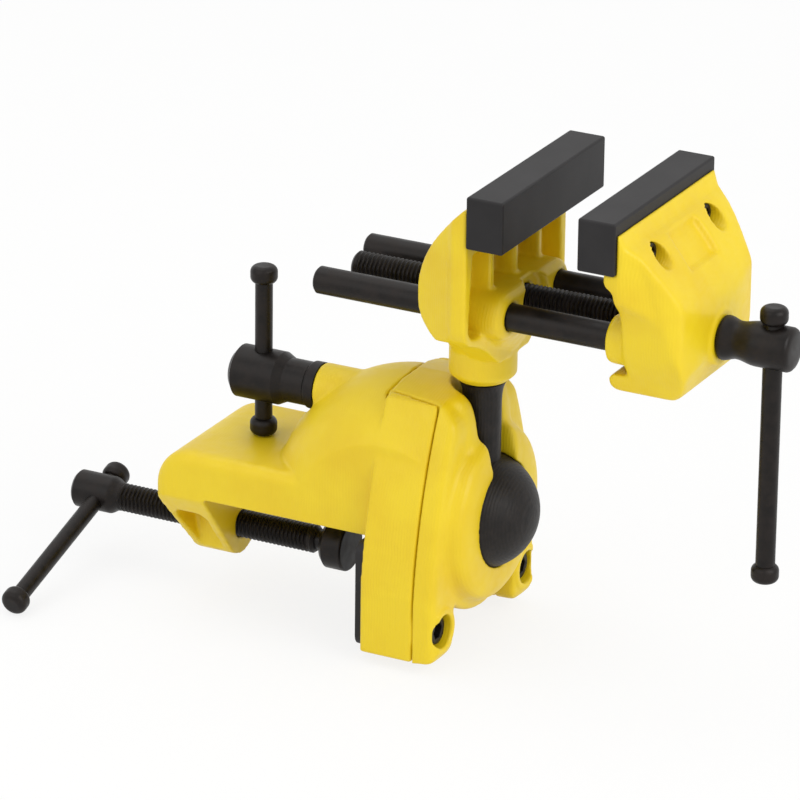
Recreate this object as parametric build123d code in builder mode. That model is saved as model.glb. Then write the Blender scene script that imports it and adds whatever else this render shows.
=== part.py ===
"""Clamp-on vise with a locking ball joint, in millimetres, +Z up.

The origin is on the clamp screw's axis, in the face that bears on the bench.
+X runs from that face towards the jaws' handle, and +Y is across the jaws.
"""
from math import cos, radians, sin, sqrt
import os

from build123d import *

os.makedirs("parts", exist_ok=True)

# ---------------------------------------------------------------- fits
running_gap = 0.05  # radial, for shafts that turn or slide in bores
moving_gap = 0.2  # between cast faces that pass each other
seam_gap = 0.5  # between the frame and the ball cover
stop_gap = 0.3  # between a shoulder and the face that it comes to rest on

# ---------------------------------------------------------------- clamp
bench_pad_side_margin = 2.5  # the base's sides beyond the pad
bench_pad_edge_gap = 0.3
bench_pad_thickness = 3.0
bench_pad_corner = 4.0
throat_depth = 60.0  # lip to bench pad
throat_height = 18.0  # clamp screw's axis up to the arm
arm_thickness = 15.2
arm_half_width = 27.0
arm_end_radius = 13.0
arm_edge_round = 4.0
lip_thickness = 18.5
lip_draft = 4.5
lip_nose_radius = 10.4
lip_nose_slope = 42.0  # degrees round the nose where the sides begin
lip_shoulder_drop = 1.0
lip_pocket_wall = 3.0
lip_web_half_width = 7.6
lip_pocket_top = 10.0
lip_pocket_bottom = -8.0
lip_pocket_corner = 3.0

clamp_thread_radius = 4.75
clamp_neck_radius = 3.3
clamp_hub_radius = 6.3
clamp_hub_length = 18.6
clamp_screw_length = 72.8  # threaded length between hub and neck
clamp_opening = 19.5  # foot to bench pad as drawn
foot_radius = 8.4
foot_thickness = 8.6
foot_socket_depth = 4.0
clamp_neck_length = 3.4
clamp_bar_tilt = 17.3  # degrees below level, near end down

# ---------------------------------------------------------------- base
frame_depth = 18.5
cover_thickness = 7.5
base_drop = 18.5  # clamp axis down to the base's lower edge
base_side_height = 3.0  # where the upright sides start to lean in
side_bulge = 3.0  # of the leaning sides, past a straight line
shoulder_half_width = 19.6
shoulder_drop = 3.7  # crown down to the shoulders
crown_height = 68.0
crown_flat_share = 0.52
crown_sag = 1.5
crown_bevel_reach = 9.0
crown_bevel_drop = 9.2
crown_bevel_round = 7.0
cover_edge_round = 2.6
dome_centre_x = 5.5
dome_centre_z = 12.0
dome_length = 51.0
dome_overhang = 0.5
dome_crown_drop = 0.4
tongue_root_half_width = 19.0
tongue_tip_half_width = 15.0
tongue_length = 22.0
tongue_hollow = 4.6  # of the tip's curved edge
tongue_corner = 2.0
tongue_floor_height = 45.5
boss_radius = 31.5
boss_rise = 6.6
boss_flat_radius = 19.0
boss_brow_radius = 25.0
boss_brow_fall = 0.7
boss_shoulder_radius = 28.6
boss_shoulder_fall = 2.8
apron_margin = 1.5  # plate left below the boss between the ears
cheek_half_width = 15.6
cheek_round = 3.2
ear_width = 15.5
ear_corner = 5.0
ear_screw_inset = 6.6  # in from the base's sides
ear_screw_rise = 10.4  # up from the base's lower edge
ear_lip_radius = 7.8
ear_lip_rise = 0.9
underside_wall = 5.0  # frame left behind the hollow between the ears
cover_screw_radius = 2.5
cover_screw_head_radius = 4.6
cover_screw_head_height = 3.4
cover_screw_length = 15.0
ear_seat_radius = 6.5
ear_counterbore_radius = 5.6
ear_floor = 2.6  # metal left under the screw heads

# ---------------------------------------------------------------- ball
ball_radius = 19.3
ball_x = 27.5
ball_z = 23.0
stem_radius = 6.25
stem_flare_radius = 7.8
stem_flare_height = 8.0
slot_half_width = 8.2
slot_mouth_radius = 10.6  # at the crown
slot_mouth_depth = 5.4
head_height = 75.5  # ball's centre up to the rods

# ---------------------------------------------------------------- lock
lock_height = 54.3
lock_tube_radius = 8.0
lock_tube_reach = 30.5  # tube's end behind the bench face
lock_spot_face_radius = 9.4
lock_washer_radius = 7.9
lock_washer_thickness = 4.0
lock_shaft_radius = 4.0
lock_neck_radius = 7.3
lock_neck_length = 7.8
lock_hub_radius = 8.8
lock_hub_length = 20.0

# ---------------------------------------------------------------- jaws
jaw_width = 73.0
jaw_pad_height = 17.3
jaw_pad_thickness = 12.8
jaw_pad_rise = 27.6  # rods up to the pads' lower edges
jaw_opening = 25.6  # as drawn
fixed_pad_x = 51.5  # fixed pad's working face
fixed_jaw_depth = 21.3
fixed_jaw_top_depth = 1.2
fixed_jaw_slope_run = 10.1  # of the sloping back, pad's height to the hump
fixed_jaw_hump_rise = 9.5  # rods up to the rearmost point
fixed_jaw_waist_drop = 8.3
fixed_jaw_ridge_depth = 13.6
fixed_jaw_ridge_step = 2.6
fixed_jaw_draw_in = 9.0
fixed_jaw_dish_depth = 7.5
fixed_jaw_dish_drop = 5.0  # rods down to the dish's lower edge
fixed_jaw_wall = 3.1
fixed_jaw_brow = 3.8  # solid below the pad
fixed_jaw_rib = 2.8
fixed_jaw_rib_pitch = 16.8
fixed_jaw_rib_count = 3
fixed_boss_reach = 7.2
fixed_boss_round = 3.2
fixed_boss_recess = 3.6
fixed_boss_recess_margin = 4.0
jaw_step = 5.0  # pads' tops above the fixed casting
jaw_side_step = 0.6  # pads' ends beyond the castings
jaw_pad_round = 0.8
rod_radius = 4.5
rod_spread = 17.2
rod_boss_radius = 8.0
screw_radius = 5.0
rod_rear_reach = 23.2  # rods' rear ends behind the bench face's plane
screw_rear_reach = 18.4
collar_radius = 11.0
collar_bottom_radius = 8.0
collar_height = 45.5  # ball's centre up to the collar
collar_chamfer = 2.6
collar_length = 12.5
spigot_radius = 6.0
spigot_length = 19.0
moving_jaw_depth = 20.6
moving_jaw_bow = 1.9  # of the front face, seen from above
moving_jaw_band = 0.7  # front part of the sides proud of the rear
moving_jaw_step = 3.9
moving_jaw_drop = 16.8  # rods down to the casting's floor
moving_jaw_taper = 9.7
moving_jaw_side_wall = 4.0
moving_front_wall = 4.0
moving_floor_half_width = 19.6
moving_boss_reach = 8.4
moving_wall_back = 1.4
moving_brow = 2.6
moving_brow_drop = 4.5
moving_face_rise = 6.5
floor_thickness = 6.5
floor_reach = 8.6
floor_corner = 2.0
ledge_reach = 4.4
ledge_height = 4.6
hub_length = 10.5
hub_radius = 9.5
hub_lip_radius = 8.9
hub_lip_rise = 0.5
panel_depth = 0.9
panel_half_width = 10.0
panel_corner = 4.0
panel_margin = 2.5
panel_rise = 23.5
pad_screw_radius = 2.5
pad_screw_head_radius = 3.6
pad_screw_head_height = 2.4
pad_screw_rise = 3.4  # pads' lower edges up to their screws
fixed_pad_grip = 4.2
moving_pad_grip = 2.6
pad_screw_bite = 9.0
pad_screw_spread = 20.0
journal_radius = 5.5
thrust_washer_radius = 8.5
thrust_washer_thickness = 1.5
retaining_ring_radius = 7.5
retaining_ring_thickness = 1.2
ring_groove_radius = 4.6
rod_chamfer = 0.7
seat_gap = 0.1  # between a bar's knob and the hub that it hangs on
overcut = 2.0

vise_flange_radius = 7.6
vise_waist_radius = 5.7
vise_hub_radius = 7.3
vise_flange_length = 4.0
vise_waist_length = 6.0
vise_hub_length = 13.5
vise_dome_rise = 0.8

# ---------------------------------------------------------------- cross bars
bar_radius = 2.9
knob_radius = 4.5
knob_height = 6.0
knob_socket = 3.0
vise_bar_radius = 3.15
vise_bar_length = 93.0
lock_bar_length = 58.8
clamp_bar_length = 74.6

# ---------------------------------------------------------------- derived places
frame_x = bench_pad_thickness
seam_x = frame_x + frame_depth
cover_x = seam_x + seam_gap
cover_front_x = cover_x + cover_thickness
arm_top = throat_height + arm_thickness
base_half_width = jaw_width / 2  # the base is as wide as the jaws
shoulder_height = crown_height - shoulder_drop
dome_half_width = base_half_width + dome_overhang
ear_inner_half_width = base_half_width - ear_width
ear_screw_y = base_half_width - ear_screw_inset
ear_places = [(side * ear_screw_y, ear_screw_rise - base_drop) for side in (1, -1)]
ear_seat_x = cover_x + ear_floor
boss_face_x = cover_front_x + boss_rise
apron_radius = boss_radius + apron_margin
rod_z = ball_z + head_height
pad_bottom = rod_z + jaw_pad_rise
pad_top = pad_bottom + jaw_pad_height
fixed_jaw_x = fixed_pad_x - jaw_pad_thickness
moving_pad_x = fixed_pad_x + jaw_opening
moving_jaw_x = moving_pad_x + jaw_pad_thickness
moving_front_x = moving_jaw_x + moving_jaw_depth
collar_z = ball_z + collar_height
lock_hole_end = ball_x - slot_half_width - 1.2
big = 400.0


def turned_along_x(profile, height):
    """Solid of revolution about an axis along X, from (x, radius) points."""
    with BuildPart() as blank:
        with BuildSketch(Plane.XZ):
            with BuildLine():
                Polyline(*[(x, height + r) for x, r in profile], close=True)
            make_face()
        revolve(axis=Axis((0, 0, height), (1, 0, 0)))
    return blank.part


def cross_bar(plane, low, high, radius):
    """Round bar along a plane's normal, its ends seated in the knobs."""
    with BuildPart() as bar:
        with BuildSketch(plane.offset(low + knob_height - knob_socket)):
            Circle(radius)
        extrude(amount=high - low - 2 * (knob_height - knob_socket))
    return bar.part


def bar_knobs(plane, low, high, radius):
    """The two rounded caps on a cross bar's ends."""
    with BuildPart() as knobs:
        with BuildSketch(plane.offset(low)):
            Circle(knob_radius)
        extrude(amount=knob_height)
        with BuildSketch(plane.offset(high - knob_height)):
            Circle(knob_radius)
        extrude(amount=knob_height)
        fillet(knobs.edges().filter_by(GeomType.CIRCLE), knob_height * 0.36)
        with BuildSketch(plane.offset(low + knob_height - knob_socket)):
            Circle(radius)
        extrude(amount=high - low - 2 * (knob_height - knob_socket), mode=Mode.SUBTRACT)
    return knobs.part


def base_outline(inset=0.0):
    """Outline of the base, seen along X: upright sides, leaning shoulders and a crown."""
    with BuildSketch() as outline:
        with BuildLine():
            bottom = -base_drop + inset
            side = base_half_width - inset
            shoulder = (shoulder_half_width - inset, shoulder_height - inset)
            lean = (side + shoulder_half_width) / 2 + side_bulge
            Line((0, bottom), (side, bottom))
            Line((side, bottom), (side, base_side_height))
            ThreePointArc(
                (side, base_side_height),
                (lean, (base_side_height + shoulder_height) / 2),
                shoulder,
            )
            ThreePointArc(
                shoulder,
                (shoulder[0] * crown_flat_share, crown_height - inset - crown_sag),
                (0, crown_height - inset),
            )
            mirror(about=Plane.YZ)
        make_face()
    return outline.sketch


def tongue_plan(gap=0.0):
    """Plan of the cover's tongue, larger by a gap all round."""
    with BuildSketch() as plan:
        with BuildLine():
            root = (cover_x + tongue_corner, tongue_root_half_width + gap)
            tip = (seam_x - tongue_length - gap, tongue_tip_half_width + gap)
            Polyline((root[0], 0), root, tip)
            ThreePointArc(tip, (tip[0] + tongue_hollow, 0), (tip[0], -tip[1]))
            Polyline((tip[0], -tip[1]), (root[0], -root[1]), (root[0], 0))
        make_face()
        fillet(plan.vertices().group_by(Axis.X)[0], tongue_corner + gap)
    return plan.sketch


def underside(radius):
    """Opening between the base's two ears, below a disc about the ball's centre."""
    with BuildSketch() as opening:
        corner_y = ear_inner_half_width + ear_corner
        with Locations((0, -base_drop)):
            Rectangle(2 * corner_y, ear_corner, align=(Align.CENTER, Align.MIN))
        with Locations((corner_y, ear_corner - base_drop), (-corner_y, ear_corner - base_drop)):
            Circle(ear_corner, mode=Mode.SUBTRACT)
        with Locations((0, -base_drop)):
            Rectangle(
                2 * ear_inner_half_width, base_drop + ball_z, align=(Align.CENTER, Align.MIN)
            )
        with Locations((0, ball_z)):
            Circle(radius, mode=Mode.SUBTRACT)
    return opening.sketch


def slot_mouth():
    """Flared rim where the stem's slot opens through the crown."""
    with BuildPart() as mouth:
        with BuildSketch(Plane.XZ):
            with BuildLine():
                flare = (slot_mouth_radius - slot_half_width) / slot_mouth_depth
                Polyline(
                    (ball_x, crown_height - slot_mouth_depth),
                    (ball_x + slot_half_width, crown_height - slot_mouth_depth),
                    (ball_x + slot_mouth_radius + flare * overcut, crown_height + overcut),
                    (ball_x, crown_height + overcut),
                    close=True,
                )
            make_face()
        revolve(axis=Axis((ball_x, 0, 0), (0, 0, 1)))
    return mouth.part


# ---------------------------------------------------------------- base form
with BuildPart() as base_plate:
    with BuildSketch(Plane.YZ.offset(frame_x)):
        add(base_outline())
    extrude(amount=cover_front_x - frame_x)
    # The crown slopes down to the front face.
    with BuildSketch(Plane.XZ):
        with BuildLine():
            Polyline(
                (cover_front_x - crown_bevel_reach, crown_height),
                (cover_front_x, crown_height - crown_bevel_drop),
                (cover_front_x + overcut, crown_height - crown_bevel_drop),
                (cover_front_x + overcut, crown_height + overcut),
                (cover_front_x - crown_bevel_reach, crown_height + overcut),
                close=True,
            )
        make_face()
    extrude(amount=big, both=True, mode=Mode.SUBTRACT)
    fillet(base_plate.edges().filter_by(Axis.Y).group_by(Axis.Z)[-1], crown_bevel_round)
    front = base_plate.faces().sort_by(Axis.X)[-3:].edges()
    fillet(
        front.filter_by(Axis.Y, reverse=True) + front.filter_by(Axis.Y).group_by(Axis.Z)[0],
        cover_edge_round,
    )

dome_blank = 10.0  # radius of the ball that the dome is stretched from
with BuildPart() as dome:
    Sphere(dome_blank)
    dome_rise = crown_height - dome_crown_drop - dome_centre_z
    scale(by=(dome_length / dome_blank, dome_half_width / dome_blank, dome_rise / dome_blank))
dome_solid = dome.part.moved(Location((dome_centre_x, 0, dome_centre_z)))

# ---------------------------------------------------------------- clamp frame
lip_x = -throat_depth
arm_end_x = lip_x - lip_thickness

with BuildPart() as dome_part:
    add(dome_solid)
    with Locations((seam_x, 0, throat_height)):
        Box(
            seam_x + big,
            2 * arm_half_width,
            crown_height,
            align=(Align.MAX, Align.CENTER, Align.MIN),
            mode=Mode.INTERSECT,
        )

with BuildPart() as arm:
    with BuildSketch(Plane.XZ):
        with BuildLine():
            Polyline(
                (seam_x - 1, throat_height),
                (lip_x, throat_height),
                (lip_x, -lip_nose_radius),
                (arm_end_x + lip_draft, -lip_nose_radius),
                (arm_end_x, throat_height),
                (arm_end_x, arm_top - arm_end_radius),
            )
            RadiusArc(
                (arm_end_x, arm_top - arm_end_radius),
                (arm_end_x + arm_end_radius, arm_top),
                arm_end_radius,
            )
            Polyline(
                (arm_end_x + arm_end_radius, arm_top),
                (seam_x - 1, arm_top),
                (seam_x - 1, throat_height),
            )
        make_face()
    extrude(amount=arm_half_width, both=True)
    with BuildSketch(Plane.YZ.offset(-big / 2)) as arm_section:
        with BuildLine():
            shoulder_z = throat_height - lip_shoulder_drop
            nose_y = lip_nose_radius * sin(radians(lip_nose_slope))
            nose_z = -lip_nose_radius * cos(radians(lip_nose_slope))
            Polyline((0, arm_top), (arm_half_width, arm_top), (arm_half_width, shoulder_z))
            Line((arm_half_width, shoulder_z), (nose_y, nose_z))
            ThreePointArc(
                (nose_y, nose_z),
                (nose_y * 0.55, -sqrt(lip_nose_radius**2 - (nose_y * 0.55) ** 2)),
                (0, -lip_nose_radius),
            )
            mirror(about=Plane.YZ)
        make_face()
    extrude(amount=big, mode=Mode.INTERSECT)
    fillet(arm.edges().filter_by(Axis.X).group_by(Axis.Z)[-1], arm_edge_round)

with BuildPart() as clamp_frame:
    add(base_plate.part)
    split(bisect_by=Plane.YZ.offset(seam_x), keep=Keep.BOTTOM)
    add(dome_part.part)
    add(arm.part)
    # Tube that carries the lock screw, with a spot face round its end.
    with BuildSketch(Plane.YZ.offset(-lock_tube_reach)):
        with Locations((0, lock_height)):
            Circle(lock_tube_radius)
    extrude(amount=lock_tube_reach)
    with BuildSketch(Plane.YZ.offset(-lock_tube_reach)):
        with Locations((0, lock_height)):
            Circle(lock_spot_face_radius)
    extrude(amount=-big, mode=Mode.SUBTRACT)
    # Hollow between the ears' feet.
    with BuildSketch(Plane.YZ.offset(frame_x + underside_wall)):
        add(underside(apron_radius - seam_gap))
    extrude(amount=big, mode=Mode.SUBTRACT)
    # Seats for the cover's ears.
    with BuildSketch(Plane.YZ.offset(seam_x)):
        with Locations(*ear_places):
            Circle(ear_seat_radius)
    extrude(amount=seam_gap)
    # Hollows in the lip's two sloping sides.
    for side in (-1, 1):
        with BuildSketch(Plane.XZ.offset(-side * arm_half_width)) as lip_pocket:
            with BuildLine():
                Polyline(
                    (arm_end_x + lip_pocket_wall, lip_pocket_top),
                    (lip_x - lip_pocket_wall, lip_pocket_top),
                    (lip_x - lip_pocket_wall, lip_pocket_bottom),
                    (arm_end_x + lip_draft + lip_pocket_wall, lip_pocket_bottom),
                    close=True,
                )
            make_face()
            fillet(lip_pocket.vertices(), lip_pocket_corner)
        extrude(amount=side * (arm_half_width - lip_web_half_width), mode=Mode.SUBTRACT)
    # Ball socket, and the slot's rounded back.
    with Locations((ball_x, 0, ball_z)):
        Sphere(ball_radius + moving_gap, mode=Mode.SUBTRACT)
    with BuildSketch(Plane.XY.offset(ball_z)):
        with Locations((ball_x, 0)):
            Circle(slot_half_width)
    extrude(amount=big, mode=Mode.SUBTRACT)
    add(slot_mouth(), mode=Mode.SUBTRACT)
    # Room for the cover's tongue.
    with BuildSketch(Plane.XY.offset(tongue_floor_height - seam_gap)):
        add(tongue_plan(seam_gap))
    extrude(amount=big, mode=Mode.SUBTRACT)
    # Bores for the clamp screw, the lock screw and the cover's screws.
    with BuildSketch(Plane.YZ.offset(-big / 2)):
        Circle(clamp_thread_radius + running_gap)
    extrude(amount=big / 2 + lip_x + 1, mode=Mode.SUBTRACT)
    with BuildSketch(Plane.YZ.offset(-lock_tube_reach)):
        with Locations((0, lock_height)):
            Circle(lock_shaft_radius + moving_gap)
    extrude(amount=lock_tube_reach + seam_x, mode=Mode.SUBTRACT)
    with BuildSketch(Plane.YZ.offset(seam_x + seam_gap)):
        with Locations(*ear_places):
            Circle(cover_screw_radius)
    extrude(amount=ear_floor - cover_screw_length - stop_gap, mode=Mode.SUBTRACT)
clamp_frame.part.label = "clamp_frame"
export_step(clamp_frame.part, "parts/clamp_frame.step")

# ---------------------------------------------------------------- ball cover
with BuildPart() as tongue_block:
    add(base_plate.part)
    add(dome_part.part)
    with BuildSketch(Plane.XY.offset(tongue_floor_height)):
        add(tongue_plan())
    extrude(amount=big, mode=Mode.INTERSECT)

# Raised cheeks on both sides of the stem's slot, running up into the crown.
with BuildPart() as cheeks:
    with BuildSketch(Plane.XZ):
        with BuildLine():
            cheek_foot = (boss_face_x, ball_z + boss_flat_radius - ball_radius / 4)
            cheek_top = (cover_x, crown_height)
            Spline(
                cheek_foot,
                (cover_front_x + boss_rise / 3, ball_z + boss_shoulder_radius - overcut),
                (cover_front_x - overcut / 4, crown_height - 2 * cheek_round),
                cheek_top,
                tangents=((0, 1), (-1, 0)),
            )
            Polyline(cheek_top, (cover_x, ball_z), (boss_face_x, ball_z), cheek_foot)
        make_face()
    extrude(amount=cheek_half_width, both=True)
    fillet(cheeks.edges().filter_by(GeomType.BSPLINE), cheek_round)
    with BuildSketch(Plane.YZ):
        add(base_outline())
    extrude(amount=big, mode=Mode.INTERSECT)

# Raised rims round the ears' counterbores.
with BuildPart() as ear_rims:
    with BuildSketch(Plane.YZ.offset(cover_x)):
        with Locations(*ear_places):
            Circle(ear_lip_radius)
    extrude(amount=cover_thickness + ear_lip_rise)
    fillet(ear_rims.edges().filter_by(GeomType.CIRCLE).group_by(Axis.X)[-1], 0.8 * ear_lip_rise)
    with BuildSketch(Plane.YZ.offset(cover_x)):
        add(base_outline(cover_edge_round))
    extrude(amount=big, mode=Mode.INTERSECT)

with BuildPart() as ball_cover:
    add(base_plate.part)
    split(bisect_by=Plane.YZ.offset(cover_x), keep=Keep.TOP)
    add(tongue_block.part)
    # Round boss about the ball, with a soft brow and a hollow foot.
    with BuildSketch(Plane.XZ):
        with BuildLine():
            Polyline(
                (cover_x, ball_z + boss_radius),
                (cover_x, ball_z),
                (boss_face_x, ball_z),
                (boss_face_x, ball_z + boss_flat_radius),
            )
            Spline(
                (boss_face_x, ball_z + boss_flat_radius),
                (boss_face_x - boss_brow_fall, ball_z + boss_brow_radius),
                (boss_face_x - boss_shoulder_fall, ball_z + boss_shoulder_radius),
                (cover_front_x, ball_z + boss_radius),
                tangents=((0, 1), (0, 1)),
            )
            Line((cover_front_x, ball_z + boss_radius), (cover_x, ball_z + boss_radius))
        make_face()
    revolve(axis=Axis((0, 0, ball_z), (1, 0, 0)))
    add(cheeks.part)
    # Between the ears the plate is trimmed back to the boss.
    with BuildSketch(Plane.YZ.offset(cover_x)):
        add(underside(apron_radius))
    extrude(amount=big, mode=Mode.SUBTRACT)
    add(ear_rims.part)
    # Ball socket, mouth and stem slot.
    with Locations((ball_x, 0, ball_z)):
        Sphere(ball_radius + moving_gap, mode=Mode.SUBTRACT)
    with BuildSketch(Plane.XY.offset(ball_z)):
        with Locations((ball_x, 0)):
            Circle(slot_half_width)
            Rectangle(big, 2 * slot_half_width, align=(Align.MIN, Align.CENTER))
    extrude(amount=big, mode=Mode.SUBTRACT)
    add(slot_mouth(), mode=Mode.SUBTRACT)
    # Ear counterbores and holes, and the lock screw's threaded hole.
    with BuildSketch(Plane.YZ.offset(ear_seat_x)):
        with Locations(*ear_places):
            Circle(ear_counterbore_radius)
    extrude(amount=big, mode=Mode.SUBTRACT)
    with BuildSketch(Plane.YZ.offset(cover_x)):
        with Locations(*ear_places):
            Circle(cover_screw_radius + running_gap)
    extrude(amount=big, mode=Mode.SUBTRACT)
    with BuildSketch(Plane.YZ.offset(seam_x - big)):
        with Locations((0, lock_height)):
            Circle(lock_shaft_radius + running_gap)
    extrude(amount=big + lock_hole_end - seam_x, mode=Mode.SUBTRACT)
ball_cover.part.label = "ball_cover"
export_step(ball_cover.part, "parts/ball_cover.step")

# ---------------------------------------------------------------- bench pad and cover screws
with BuildPart() as clamp_face_pad:
    with BuildSketch(Plane.YZ):
        with Locations((0, (throat_height - base_drop) / 2)):
            RectangleRounded(
                2 * (base_half_width - bench_pad_side_margin),
                throat_height + base_drop - 2 * bench_pad_edge_gap,
                bench_pad_corner,
            )
    extrude(amount=bench_pad_thickness)
clamp_face_pad.part.label = "clamp_face_pad"
export_step(clamp_face_pad.part, "parts/clamp_face_pad.step")

with BuildPart() as cover_screws:
    with BuildSketch(Plane.YZ.offset(ear_seat_x)):
        with Locations(*ear_places):
            Circle(cover_screw_head_radius)
    extrude(amount=cover_screw_head_height)
    with BuildSketch(Plane.YZ.offset(ear_seat_x)):
        with Locations(*ear_places):
            Circle(cover_screw_radius)
    extrude(amount=-cover_screw_length)
cover_screws.part.label = "cover_screws"
export_step(cover_screws.part, "parts/cover_screws.step")

# ---------------------------------------------------------------- lock screw and its bar
washer_x = -lock_tube_reach - lock_washer_thickness
lock_hub_x = washer_x - lock_neck_length - lock_hub_length
lock_screw_end = lock_hole_end - 1.0

with BuildPart() as lock_washer:
    with BuildSketch(Plane.YZ.offset(washer_x)):
        with Locations((0, lock_height)):
            Circle(lock_washer_radius)
            Circle(lock_shaft_radius + moving_gap, mode=Mode.SUBTRACT)
    extrude(amount=lock_washer_thickness)
    fillet(lock_washer.edges().filter_by(GeomType.CIRCLE).group_by(Axis.X)[0].sort_by(SortBy.LENGTH)[-1], 1.0)
lock_washer.part.label = "lock_washer"
export_step(lock_washer.part, "parts/lock_washer.step")

lock_bar_x = lock_hub_x + lock_hub_length / 2
lock_bar_plane = Plane(origin=(lock_bar_x, 0, 0), z_dir=(0, 0, 1))
lock_bar_low = arm_top + stop_gap
lock_bar_high = lock_bar_low + lock_bar_length

with BuildPart() as lock_screw:
    add(
        turned_along_x(
            [
                (lock_hub_x, 0),
                (lock_hub_x, lock_hub_radius - 2.5),
                (lock_hub_x + 2.0, lock_hub_radius),
                (lock_hub_x + lock_hub_length - 3.0, lock_hub_radius),
                (lock_hub_x + lock_hub_length, lock_neck_radius),
                (washer_x, lock_neck_radius),
                (washer_x, lock_shaft_radius),
                (lock_screw_end - 1.0, lock_shaft_radius),
                (lock_screw_end, lock_shaft_radius - 1.0),
                (lock_screw_end, 0),
            ],
            lock_height,
        )
    )
    with BuildSketch(lock_bar_plane):
        Circle(bar_radius + running_gap)
    extrude(amount=big, mode=Mode.SUBTRACT)
lock_screw.part.label = "lock_screw"
export_step(lock_screw.part, "parts/lock_screw.step")

with BuildPart() as lock_bar:
    add(cross_bar(lock_bar_plane, lock_bar_low, lock_bar_high, bar_radius))
lock_bar.part.label = "lock_bar"
export_step(lock_bar.part, "parts/lock_bar.step")

with BuildPart() as lock_bar_knobs:
    add(bar_knobs(lock_bar_plane, lock_bar_low, lock_bar_high, bar_radius))
lock_bar_knobs.part.label = "lock_bar_knobs"
export_step(lock_bar_knobs.part, "parts/lock_bar_knobs.step")

# ---------------------------------------------------------------- clamp screw, foot and bar
foot_back_x = -clamp_opening - foot_thickness
thread_end_x = foot_back_x - clamp_neck_length
clamp_hub_end = thread_end_x - clamp_screw_length
clamp_hub_x = clamp_hub_end - clamp_hub_length
clamp_bar_x = clamp_hub_x + clamp_hub_length / 2
clamp_bar_plane = Plane(
    origin=(clamp_bar_x, 0, 0),
    z_dir=(0, cos(radians(clamp_bar_tilt)), sin(radians(clamp_bar_tilt))),
)
clamp_bar_high = clamp_hub_radius + stop_gap + knob_height
clamp_bar_low = clamp_bar_high - clamp_bar_length

with BuildPart() as clamp_foot:
    with BuildSketch(Plane.YZ.offset(foot_back_x)):
        Circle(foot_radius)
    extrude(amount=foot_thickness)
    chamfer(clamp_foot.edges().filter_by(GeomType.CIRCLE).group_by(Axis.X)[0], 1.6)
    fillet(clamp_foot.edges().filter_by(GeomType.CIRCLE).group_by(Axis.X)[-1], 0.8)
    with Locations((foot_back_x + foot_socket_depth, 0, 0)):
        Sphere(foot_socket_depth, mode=Mode.SUBTRACT)
    with BuildSketch(Plane.YZ.offset(foot_back_x)):
        Circle(clamp_neck_radius + moving_gap)
    extrude(amount=foot_socket_depth, mode=Mode.SUBTRACT)
clamp_foot.part.label = "clamp_foot"
export_step(clamp_foot.part, "parts/clamp_foot.step")

with BuildPart() as clamp_screw:
    add(
        turned_along_x(
            [
                (clamp_hub_x, 0),
                (clamp_hub_x, clamp_hub_radius - 1.6),
                (clamp_hub_x + 1.2, clamp_hub_radius),
                (clamp_hub_end - 5.0, clamp_hub_radius),
                (clamp_hub_end - 1.5, clamp_thread_radius),
                (thread_end_x - 1.2, clamp_thread_radius),
                (thread_end_x, clamp_thread_radius - 1.0),
                (thread_end_x, clamp_neck_radius),
                (foot_back_x + foot_socket_depth, clamp_neck_radius),
                (foot_back_x + foot_socket_depth, 0),
            ],
            0,
        )
    )
    with Locations((foot_back_x + foot_socket_depth, 0, 0)):
        Sphere(foot_socket_depth - moving_gap)
    with BuildSketch(clamp_bar_plane.offset(-big / 2)):
        Circle(bar_radius + running_gap)
    extrude(amount=big, mode=Mode.SUBTRACT)
clamp_screw.part.label = "clamp_screw"
export_step(clamp_screw.part, "parts/clamp_screw.step")

with BuildPart() as clamp_bar:
    add(cross_bar(clamp_bar_plane, clamp_bar_low, clamp_bar_high, bar_radius))
clamp_bar.part.label = "clamp_bar"
export_step(clamp_bar.part, "parts/clamp_bar.step")

with BuildPart() as clamp_bar_knobs:
    add(bar_knobs(clamp_bar_plane, clamp_bar_low, clamp_bar_high, bar_radius))
clamp_bar_knobs.part.label = "clamp_bar_knobs"
export_step(clamp_bar_knobs.part, "parts/clamp_bar_knobs.step")

# ---------------------------------------------------------------- ball stud
with BuildPart() as ball_stud:
    with Locations((ball_x, 0, ball_z)):
        Sphere(ball_radius)
    with BuildSketch(Plane.XZ):
        with BuildLine():
            top = collar_z - stop_gap
            Polyline(
                (ball_x, ball_z),
                (ball_x + stem_radius, ball_z),
                (ball_x + stem_radius, top - stem_flare_height),
            )
            Spline(
                (ball_x + stem_radius, top - stem_flare_height),
                (ball_x + stem_flare_radius, top),
                tangents=((0, 1), (0.6, 1)),
            )
            Polyline(
                (ball_x + stem_flare_radius, top),
                (ball_x + spigot_radius, top),
                (ball_x + spigot_radius, top + spigot_length - 1.0),
                (ball_x + spigot_radius - 1.0, top + spigot_length),
                (ball_x, top + spigot_length),
                (ball_x, ball_z),
            )
        make_face()
    revolve(axis=Axis((ball_x, 0, 0), (0, 0, 1)))
ball_stud.part.label = "ball_stud"
export_step(ball_stud.part, "parts/ball_stud.step")

# ---------------------------------------------------------------- fixed jaw
jaw_top = pad_top - jaw_step
jaw_half_width = jaw_width / 2 - jaw_side_step
fixed_back_x = fixed_jaw_x - fixed_jaw_depth
fixed_boss_x = fixed_jaw_x + fixed_boss_reach
collar_top = collar_z + collar_length
pad_middle = pad_bottom + jaw_pad_height / 2
pad_screw_z = pad_bottom + pad_screw_rise
pad_screw_places = [(pad_screw_spread, pad_screw_z), (-pad_screw_spread, pad_screw_z)]
rod_places = [(rod_spread, rod_z), (-rod_spread, rod_z)]


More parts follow.
